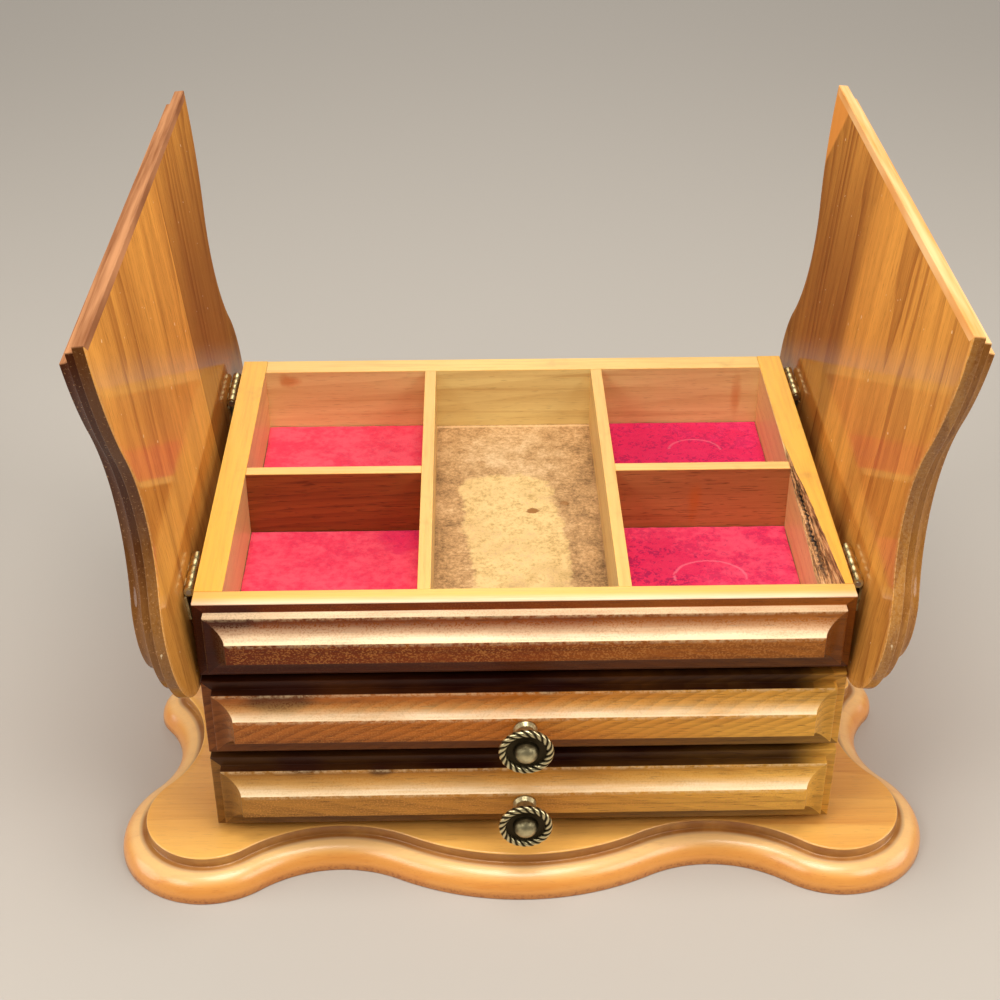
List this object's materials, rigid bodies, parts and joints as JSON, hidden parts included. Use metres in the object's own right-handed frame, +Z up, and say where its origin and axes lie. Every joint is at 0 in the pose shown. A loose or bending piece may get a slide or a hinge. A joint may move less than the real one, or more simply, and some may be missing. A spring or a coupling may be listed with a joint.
{
  "type": "jewellery box",
  "caption": "Wooden jewellery box: serpentine base, divided open tray under two side-hinged serpentine lids, and two drawers with rope-edged knobs.",
  "frame": {"origin": "centre of the base's flat underside", "axes": "+X to the right of someone facing the drawers, -Y towards that person, +Z up"},
  "size_m": [0.339, 0.238, 0.2578],
  "materials": {
    "base_wood": "satin honey-brown lacquer",
    "lid_walnut": "gloss lacquer over edge-glued walnut boards",
    "case_wood": "satin lacquer, pale along the sawn rim",
    "front_walnut": "satin lacquer over walnut",
    "divider_wood": "satin lacquer",
    "inner_wood": "bare",
    "hardboard": "bare tan hardboard with old glue",
    "velvet": "crimson pile",
    "hinge_brass": "worn bright brass",
    "antique_brass": "antique brass, dark in the hollows",
    "screw_brass": "dull brass",
    "steel": "zinc plated"
  },
  "bodies": {
    "case": {"base_plinth": "base_wood", "base_screws": "steel", "case_back": "case_wood", "case_bottom": "inner_wood", "case_hinge_screws": "screw_brass", "case_side_left": "case_wood", "case_side_right": "case_wood", "drawer_shelf": "inner_wood", "hinge_left_back_case_leaf": "hinge_brass", "hinge_left_back_pin": "hinge_brass", "hinge_left_front_case_leaf": "hinge_brass", "hinge_left_front_pin": "hinge_brass", "hinge_right_back_case_leaf": "hinge_brass", "hinge_right_back_pin": "hinge_brass", "hinge_right_front_case_leaf": "hinge_brass", "hinge_right_front_pin": "hinge_brass", "tray_cross_divider_left": "divider_wood", "tray_cross_divider_right": "divider_wood", "tray_divider_left": "divider_wood", "tray_divider_right": "divider_wood", "tray_floor": "hardboard", "tray_front": "front_walnut", "tray_lining_left_back": "velvet", "tray_lining_left_front": "velvet", "tray_lining_right_back": "velvet", "tray_lining_right_front": "velvet"},
    "lid_left": {"hinge_left_back_lid_leaf": "hinge_brass", "hinge_left_front_lid_leaf": "hinge_brass", "lid_left": "lid_walnut", "lid_left_hinge_screws": "screw_brass"},
    "lid_right": {"hinge_right_back_lid_leaf": "hinge_brass", "hinge_right_front_lid_leaf": "hinge_brass", "lid_right": "lid_walnut", "lid_right_hinge_screws": "screw_brass"},
    "lower_drawer": {"lower_drawer_back": "inner_wood", "lower_drawer_bottom": "inner_wood", "lower_drawer_front": "front_walnut", "lower_drawer_knob": "antique_brass", "lower_drawer_knob_screw": "steel", "lower_drawer_lining": "velvet", "lower_drawer_side_left": "inner_wood", "lower_drawer_side_right": "inner_wood"},
    "upper_drawer": {"upper_drawer_back": "inner_wood", "upper_drawer_bottom": "inner_wood", "upper_drawer_front": "front_walnut", "upper_drawer_knob": "antique_brass", "upper_drawer_knob_screw": "steel", "upper_drawer_lining": "velvet", "upper_drawer_side_left": "inner_wood", "upper_drawer_side_right": "inner_wood"}
  },
  "joints": [
    {"name": "lid_left_hinge", "type": "hinge", "parent": "case", "child": "lid_left", "pos_m": [-0.1293, 0, 0.1297], "axis": [0, 1, 0], "range_deg": [0, 95.97]},
    {"name": "lid_right_hinge", "type": "hinge", "parent": "case", "child": "lid_right", "pos_m": [0.1293, 0, 0.1297], "axis": [0, -1, 0], "range_deg": [0, 95.97]},
    {"name": "lower_drawer_slide", "type": "slide", "parent": "case", "child": "lower_drawer", "axis": [0, -1, 0], "range_m": [0, 0.12]},
    {"name": "upper_drawer_slide", "type": "slide", "parent": "case", "child": "upper_drawer", "axis": [0, -1, 0], "range_m": [0, 0.12]}
  ]
}
